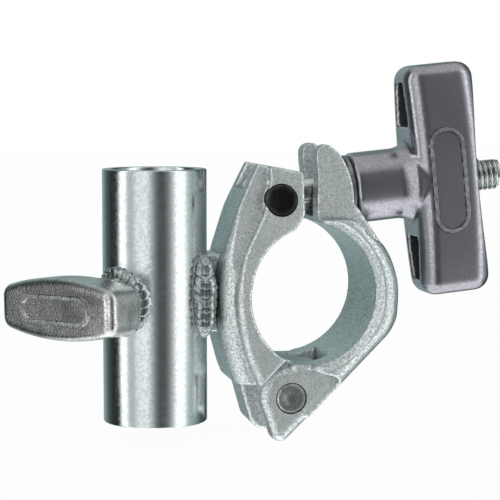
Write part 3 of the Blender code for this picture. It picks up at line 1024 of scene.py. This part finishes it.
@dataclass
class Pins:
    """The two rivets, peened into shallow domes."""

    hinge_radius: float = 5.0
    pivot_radius: float = 5.2

    def rivet(self, name: str, centre: Vector, radius: float, reach: float) -> Piece:
        """A rod with a rolled rim and a shallow dished middle at both ends.

        Args:
            name: The object's name.
            centre: The rivet's middle.
            radius: Its radius.
            reach: Half of its length.

        Returns:
            The finished piece.
        """
        rim = [(0, reach - 0.5), (radius * 0.45, reach - 0.35)]
        rim += [(radius * 0.72, reach), (radius * 0.88, reach - 0.1)]
        side = [(radius, reach - 0.7), (radius, 0.7 - reach)]
        pin = spun(name, rim + side + [(r, -h) for r, h in reversed(rim)], placed(ALONG_PIPE, centre), 72)
        return crisp(pin)

    def build(self) -> tuple[Piece, Piece]:
        """Both pins.

        Returns:
            The hinge's rivet and the bolt's.
        """
        hinge = self.rivet("hinge_rivet", HINGE, self.hinge_radius, 16.9)
        pivot = self.rivet("pivot_rivet", PIVOT, self.pivot_radius, 17.2)
        return hinge, pivot


@dataclass
class ClampScrew:
    """The swing bolt, its washer and the T-handle with its threaded insert."""

    bolt_radius: float = 5.9
    pitch: float = 1.75
    eye_radius: float = 10.0
    length: float = 80.4
    seat: float = 25.4
    washer: float = 1.8
    boss_radius: float = 12.1
    underside: float = 48.2
    face: float = 72.6
    hollow: float = 3.2
    hollow_radius: float = 200.0
    bar_half_length: float = 39.6
    bar_edge: float = 5.2
    insert_radius: float = 9.0
    insert_length: float = 20.4

    def bolt(self) -> Piece:
        """The eye, the shank and the threaded end with its staked flat.

        Returns:
            The finished piece.
        """
        eye = spun("eye_bolt", rod_profile(self.eye_radius, -6.8, 6.8, 1.2), placed(ALONG_PIPE, PIVOT), 96)
        shank = rod_profile(self.bolt_radius - 0.5, 2, 25, 0.5)
        meet(eye, spun("shank", shank, along_bolt(0), 64), Cut.ADD)
        meet(eye, threaded("thread", self.bolt_radius, self.pitch, 24.5, self.length, along_bolt(0)), Cut.ADD)
        meet(eye, drill(PIVOT, ALONG_PIPE, PIVOT_HOLE), Cut.AWAY)
        meet(eye, box("staked_flat", (-9, 4.2, 73.8), (9, 9, 84), along_bolt(0)), Cut.AWAY)
        return crisp(eye, 40)

    def bar(self, grow: float = 0.0) -> Piece:
        """The handle's cross bar, or one grown all round.

        Args:
            grow: How far it is grown.

        Returns:
            The bar.
        """
        outline = barrel(self.bar_half_length + grow, 9.5 + grow, 14.0 + grow, 6.5)
        middle, half = (self.underside + self.face) / 2, (self.face - self.underside) / 2
        return plate("t_handle", outline, half + grow, self.bar_edge, along_bolt(middle))

    def handle(self) -> Piece:
        """The cast T-handle: bar with a hollowed outer face, boss, pockets and a raised line.

        Returns:
            The finished piece.
        """
        handle = self.bar()
        start = self.seat + self.washer + GAP
        flare = self.underside - 4.5
        boss = [
            (0, 60.4), (self.boss_radius + 1.7, 60.4), (self.boss_radius + 1.7, self.underside),
            (self.boss_radius + 1.1, flare + 3.4), (self.boss_radius + 0.4, flare + 1.6),
            (self.boss_radius, flare), (self.boss_radius, start + 0.6),
            (self.boss_radius - 0.6, start), (0, start),
        ]
        meet(handle, spun("boss", boss, along_bolt(0), 96), Cut.ADD)
        lean = math.degrees(BOLT_LEAN)
        centre = PIVOT + BOLT_WAY * (self.face - self.hollow + self.hollow_radius)
        hollow = arc(from_side(centre), self.hollow_radius, 193 + lean, 167 + lean, 0.25)
        meet(handle, plate("hollow", hollow, 20), Cut.AWAY)
        for side in (1, -1):
            near, far = side * 19, side * 34
            pocket = [(-6.5, near, 1.5), (6.5, near, 1.5), (3.6, far, 1.5), (-3.6, far, 1.5)]
            outline = rounded(pocket if side > 0 else pocket[::-1])
            meet(handle, plate("pocket", outline, 8, 0, along_bolt(self.underside + 4)), Cut.AWAY)
        forge(handle, 0.5, 9)
        meet(handle, drill(PIVOT, BOLT_WAY, self.bolt_radius + 0.6, 0, 90), Cut.AWAY)
        end = start + self.insert_length + 1.5
        meet(handle, drill(PIVOT, BOLT_WAY, self.insert_radius + GAP, 0, end), Cut.AWAY)
        where = placed(-ALONG_PIPE, PIVOT + BOLT_WAY * 59.2 - ALONG_PIPE * 14, BAR_WAY)
        line = raised_line(18, 6.2, 1.3, 5, where)
        meet(line, self.bar(0.6), Cut.KEEP)
        meet(handle, line, Cut.ADD)
        return crisp(handle, 50)

    def insert(self) -> Piece:
        """The steel insert that carries the handle's thread.

        Returns:
            The finished piece.
        """
        start = self.seat + self.washer + 1.5
        section = ring_profile(self.insert_radius, self.bolt_radius + GAP, 0, self.insert_length, 0.5)
        return crisp(spun("thread_insert", section, along_bolt(start), 72))

    def seat_washer(self) -> Piece:
        """The washer between the boss and the flap's fork.

        Returns:
            The finished piece.
        """
        section = ring_profile(11.5, self.bolt_radius + 0.5, 0, self.washer, 0.35)
        return crisp(spun("seat_washer", section, along_bolt(self.seat), 96))


@dataclass
class Socket:
    """The spigot socket tube with the boss for its locking screw."""

    radius: float = TUBE_RADIUS
    bore: float = 14.5
    half_length: float = 42.5
    screw_radius: float = 4.85
    boss_radius: float = 8.6
    boss_end: float = 25.0

    def tube(self) -> Piece:
        """A drawn tube: a cylinder whose ends are inset, opened and bridged, with broken rims.

        Returns:
            The finished piece.
        """
        deselect()
        bpy.ops.mesh.primitive_cylinder_add(
            vertices=160, radius=self.radius * MM, depth=2 * self.half_length * MM, location=(TUBE_X * MM, 0, 0)
        )
        tube = bpy.context.object
        tube.name = "spigot_tube"
        bpy.ops.object.transform_apply()
        pick(tube, "FACE", lambda polygon: abs(polygon.normal.z) > 0.9)
        bpy.ops.mesh.inset(thickness=(self.radius - self.bore) * MM)
        bpy.ops.mesh.delete(type="FACE")
        switch("OBJECT")
        pick(tube, "EDGE", lambda edge: self.on_rim(tube, edge, outer=False))
        bpy.ops.mesh.bridge_edge_loops()
        switch("OBJECT")
        pick(tube, "EDGE", lambda edge: self.on_rim(tube, edge, outer=True))
        bpy.ops.mesh.bevel(offset=0.45 * MM, segments=3, affect="EDGES")
        tidy_mesh(tube)
        meet(tube, drill(LOCK_POINT, LOCK_WAY, self.screw_radius + 0.6, 0, 30), Cut.AWAY)
        return crisp(tube, 30)

    def on_rim(self, tube: Piece, edge: bpy.types.MeshEdge, outer: bool) -> bool:
        """Whether an edge is on the inner rim of an end, or on the outer rim where that counts too.

        Args:
            tube: The tube.
            edge: One of its edges.
            outer: Whether the outer rim counts.

        Returns:
            True where it is.
        """
        first, last = (tube.data.vertices[index].co for index in edge.vertices)
        level = abs(first.z - last.z) < 1e-6 and abs(abs(first.z) - self.half_length * MM) < 1e-6
        span = [math.hypot(end.x - TUBE_X * MM, end.y) for end in (first, last)]
        at_bore = max(span) < (self.bore + 0.5) * MM
        at_side = min(span) > (self.radius - 0.5) * MM
        return level and (at_bore or (outer and at_side))

    def boss(self) -> Piece:
        """The threaded boss, coped to the tube.

        Returns:
            The finished piece.
        """
        section = ring_profile(self.boss_radius, self.screw_radius + GAP, 0, self.boss_end - 10, 0.7)
        boss = spun("screw_boss", section, out_from_tube(10), 72)
        meet(boss, drill(TUBE_AXIS, UP, self.radius + GAP, -60, 60), Cut.AWAY)
        return crisp(boss)


@dataclass
class Welds:
    """The two saddle beads and the ring bead around the boss."""

    ripple: float = 2.7
    low: float = -13.4
    length: float = 28.0
    x: float = -38.5
    y: float = 12.3

    def side_bead(self, name: str, side: int) -> Piece:
        """A bead along the corner between tube and saddle, rippled in chevrons.

        Args:
            name: The bead's name.
            side: -1 for the front and 1 for the back.

        Returns:
            The bead.
        """

        def shape(turn: np.ndarray, run: np.ndarray) -> np.ndarray:
            """A fat oval that narrows at both ends, with stacked ripples.

            Args:
                turn: Share of the way around, from 0 to 1.
                run: Share of the way along, from 0 to 1.

            Returns:
                The points in millimetres.
            """
            angle = turn * math.tau
            height = self.low + self.length * run
            ends = np.clip(1 - np.abs(run * 2 - 1) ** 2.6, 0, 1) ** 0.6
            lean = np.abs(np.sin(angle)) * 3.4
            phase = np.mod((height - lean + 0.35 * np.sin(height * 1.7)) / self.ripple, 1.0)
            wave = 0.85 * (1 - phase) ** 1.3 + 0.25 * np.sin(height * 0.9 + 3 * side)
            out = (3.8 + wave) * ends
            wide = (4.2 + 0.5 * wave + 0.3 * np.sin(height * 0.62)) * ends
            x = self.x + wide * np.sin(angle)
            y = side * (self.y + out * np.cos(angle))
            return np.stack([x, y, height], axis=1)

        return crisp(skin(name, 56, 190, shape, Matrix()), 60)

    def ring_bead(self) -> Piece:
        """The bead around the boss, following the tube's round side.

        Returns:
            The finished piece.
        """

        def shape(turn: np.ndarray, run: np.ndarray) -> np.ndarray:
            """A small round section carried around the boss on the tube's surface.

            Args:
                turn: Share of the way around, from 0 to 1.
                run: Share of the way along, from 0 to 1.

            Returns:
                The points in millimetres.
            """
            angle, way = turn * math.tau, run * math.tau
            wave = 0.4 * (1 - np.mod(run * 24 + 0.5 * np.abs(np.sin(angle)), 1.0)) + 0.12 * np.sin(way * 5)
            thick = 1.75 + wave
            reach = 9.75 + thick * np.cos(angle)
            across, up = reach * np.cos(way), reach * np.sin(way)
            surface = np.sqrt(np.maximum(TUBE_RADIUS**2 - across**2, 1.0))
            out = surface + 0.4 + thick * np.sin(angle) * 0.9
            return np.stack([across, up, out], axis=1)

        return crisp(skin("boss_bead", 28, 300, shape, out_from_tube(0)), 60)


@dataclass
class LockScrew:
    """The locking screw with its pad and its cast T-knob."""

    radius: float = 4.85
    pitch: float = 1.5
    tip: float = 4.4
    pad_length: float = 3.2
    end: float = 38.0
    inner: float = 31.0
    outer: float = 45.5
    rest_turn: float = 1.6

    def screw(self) -> Piece:
        """The threaded screw."""
        start = self.tip + self.pad_length + GAP
        return crisp(threaded("knob_screw", self.radius, self.pitch, start, self.end, out_from_tube(0)), 40)

    def pad(self) -> Piece:
        """The brass pad with a domed tip.

        Returns:
            The finished piece.
        """
        low, high = self.tip, self.tip + self.pad_length
        section = [(0, high), (3.9, high), (4.4, high - 0.5)]
        section += [(4.4, low + 1.2), (3.4, low + 0.3), (1.6, low), (0, low)]
        return crisp(spun("brass_pad", section, out_from_tube(0), 64))

    def knob(self) -> Piece:
        """The cast T-knob: a bulged bar on a short hub, with a raised line on its face.

        Returns:
            The finished piece.
        """
        outline = [Vector((y, -x)) for x, y in barrel(26.0, 6.7, 10.1, 4.0)]
        middle, half = (self.inner + self.outer) / 2, (self.outer - self.inner) / 2
        turned = Matrix.Rotation(math.radians(self.rest_turn), 4, "Z")
        knob = plate("t_knob", outline, half, 2.8, out_from_tube(middle) @ turned)
        hub = rod_profile(8.8, 26.0, middle, 0.8)
        meet(knob, spun("hub", hub, out_from_tube(0), 72), Cut.ADD)
        forge(knob, 0.4, 6)
        meet(knob, drill(LOCK_POINT, LOCK_WAY, self.radius + GAP, 0, self.end + GAP), Cut.AWAY)
        where = out_from_tube(self.outer) @ turned @ Matrix.Rotation(math.radians(90), 4, "Z")
        meet(knob, raised_line(16, 4.6, 1.1, 0.55, where), Cut.ADD)
        return crisp(knob, 50)


# Stage


# The light around the object: degrees about Z, with 0 at the front and positive towards +X, and grey level
STRIPS = (
    (-180, 0.50), (-160, 0.42), (-138, 0.13), (-118, 0.03), (-96, 0.02), (-88, 1.9), (-78, 1.9),
    (-70, 0.62), (-59, 0.62), (-49, 1.10), (-25, 1.20), (-15, 0.60), (-6, 0.20), (4, 0.08), (14, 0.10),
    (24, 0.28), (34, 0.80), (42, 1.7), (57, 1.9), (66, 1.0), (73, 0.62), (86, 0.50), (100, 0.30),
    (116, 0.08), (146, 0.07), (180, 0.50),
)
# The ceiling and the ground: heights where each starts and is whole, and its colour
LAYERS = ((0.70, 0.92, (0.7, 0.72, 0.73)), (-0.64, -0.86, (1.5, 1.55, 1.56)))


@dataclass
class Studio:
    """Camera, pale floor and the soft light all round."""

    azimuth: float = -11.5
    elevation: float = 5.2
    distance: float = 0.578
    lens: float = 122.4
    target: Corner = (-0.0205, 0.0, 0.0145)
    floor_height: float = -0.0494
    floor_grey: float = 0.22
    floor_glow: float = 1.12
    glow_share: float = 0.86

    def camera(self) -> None:
        """A long lens at the set angle, aimed at the target."""
        side, rise = math.radians(self.azimuth), math.radians(self.elevation)
        way = Vector((math.sin(side) * math.cos(rise), -math.cos(side) * math.cos(rise), math.sin(rise)))
        data = bpy.data.cameras.new("camera")
        data.lens = self.lens
        data.sensor_width = 36
        data.clip_start = 0.01
        camera = bpy.data.objects.new("camera", data)
        bpy.context.scene.collection.objects.link(camera)
        camera.location = Vector(self.target) + way * self.distance
        camera.rotation_euler = way.to_track_quat("Z", "Y").to_euler()
        bpy.context.scene.camera = camera

    def floor(self) -> None:
        """A floor that looks nearly white, throws little light and is left out of reflections."""
        deselect()
        bpy.ops.mesh.primitive_plane_add(size=6, location=(0, 0, self.floor_height))
        floor = bpy.context.object
        floor.name = "floor"
        material = bpy.data.materials.new("pale_floor")
        material.use_nodes = True
        nodes, link = material.node_tree.nodes, material.node_tree.links.new
        shader = nodes["Principled BSDF"]
        shader.inputs["Base Color"].default_value = (*[self.floor_grey] * 3, 1)
        shader.inputs["Roughness"].default_value = 0.9
        glow, mix, path = (nodes.new(f"ShaderNode{kind}") for kind in ("Emission", "MixShader", "LightPath"))
        share = sum_node(nodes, "MULTIPLY", self.glow_share)
        glow.inputs["Strength"].default_value = self.floor_glow
        link(path.outputs["Is Camera Ray"], share.inputs[0])
        link(share.outputs[0], mix.inputs[0])
        link(shader.outputs[0], mix.inputs[1])
        link(glow.outputs[0], mix.inputs[2])
        link(mix.outputs[0], nodes["Material Output"].inputs["Surface"])
        floor.data.materials.append(material)
        floor.visible_glossy = False

    def surroundings(self) -> None:
        """Dark surroundings with tall soft strips of light, a dim ceiling and a pale ground."""
        world = bpy.data.worlds.new("studio")
        bpy.context.scene.world = world
        world.use_nodes = True
        nodes, link = world.node_tree.nodes, world.node_tree.links.new
        place, split = nodes.new("ShaderNodeTexCoord"), nodes.new("ShaderNodeSeparateXYZ")
        link(place.outputs["Generated"], split.inputs[0])
        flip, around = sum_node(nodes, "MULTIPLY", -1), sum_node(nodes, "ARCTAN2")
        link(split.outputs["Y"], flip.inputs[0])
        link(split.outputs["X"], around.inputs[0])
        link(flip.outputs[0], around.inputs[1])
        share = spread(nodes, -math.pi, math.pi)
        link(around.outputs[0], share.inputs["Value"])
        strips = nodes.new("ShaderNodeValToRGB")
        ramp = strips.color_ramp
        while len(ramp.elements) < len(STRIPS):
            ramp.elements.new(0.5)
        for element, (angle, grey) in zip(ramp.elements, STRIPS):
            element.position = (angle + 180) / 360
            cool = 0.24 if grey < 0.6 and abs(angle) > 72 else 0.04
            element.color = (grey * (1 - cool), grey, grey, 1)
        link(share.outputs["Result"], strips.inputs["Fac"])
        below = strips.outputs["Color"]
        for low, high, colour in LAYERS:
            reach = spread(nodes, low, high)
            link(split.outputs["Z"], reach.inputs["Value"])
            layer = blend(nodes, colour)
            link(reach.outputs["Result"], layer.inputs[0])
            link(below, layer.inputs[6])
            below = layer.outputs[2]
        kinds = ("Background", "Background", "MixShader")
        light, white, mix = (nodes.new(f"ShaderNode{kind}") for kind in kinds)
        white.inputs["Color"].default_value = (1, 1, 1, 1)
        path = nodes.new("ShaderNodeLightPath")
        link(below, light.inputs["Color"])
        link(path.outputs["Is Camera Ray"], mix.inputs[0])
        link(light.outputs[0], mix.inputs[1])
        link(white.outputs[0], mix.inputs[2])
        link(mix.outputs[0], nodes["World Output"].inputs["Surface"])

    def build(self) -> None:
        """Set up everything that is not part of the object."""
        bpy.context.scene.view_settings.view_transform = "Standard"
        self.camera()
        self.floor()
        self.surroundings()


def main() -> None:
    """Build, dress and set every piece, then the stage around them."""
    logging.basicConfig(level=logging.INFO, format="%(message)s")
    hand_over = Finisher().hand_over
    hand_over(Saddle().build(), "forged_zinc", "frame", "saddle")
    hand_over(Flap().build(), "forged_zinc", "flap", "flap")
    hinge_pin, pivot_pin = Pins().build()
    hand_over(hinge_pin, "bright_pin", "frame", "hinge_pin")
    hand_over(pivot_pin, "dark_pin", "frame", "bolt_pivot_pin")
    clamp = ClampScrew()
    hand_over(clamp.bolt(), "bolt_zinc", "bolt", "swing_bolt")
    hand_over(clamp.seat_washer(), "dull_zinc", "washer", "clamp_washer")
    hand_over(clamp.handle(), "cast_aluminium", "handle", "clamp_handle")
    hand_over(clamp.insert(), "bolt_zinc", "handle", "handle_insert")
    socket = Socket()
    hand_over(socket.tube(), "tube_zinc", "frame", "socket_tube")
    hand_over(socket.boss(), "bolt_zinc", "frame", "lock_boss")
    welds = Welds()
    hand_over(welds.side_bead("front_bead", -1), "weld_metal", "frame", "saddle_weld_front")
    hand_over(welds.side_bead("back_bead", 1), "weld_metal", "frame", "saddle_weld_back")
    hand_over(welds.ring_bead(), "weld_metal", "frame", "lock_boss_weld")
    lock = LockScrew()
    hand_over(lock.screw(), "bolt_zinc", "knob", "lock_screw")
    hand_over(lock.pad(), "turned_brass", "pad", "thrust_pad")
    hand_over(lock.knob(), "tumbled_aluminium", "knob", "lock_knob")
    Studio().build()
    deselect()


if __name__ == "__main__":
    main()
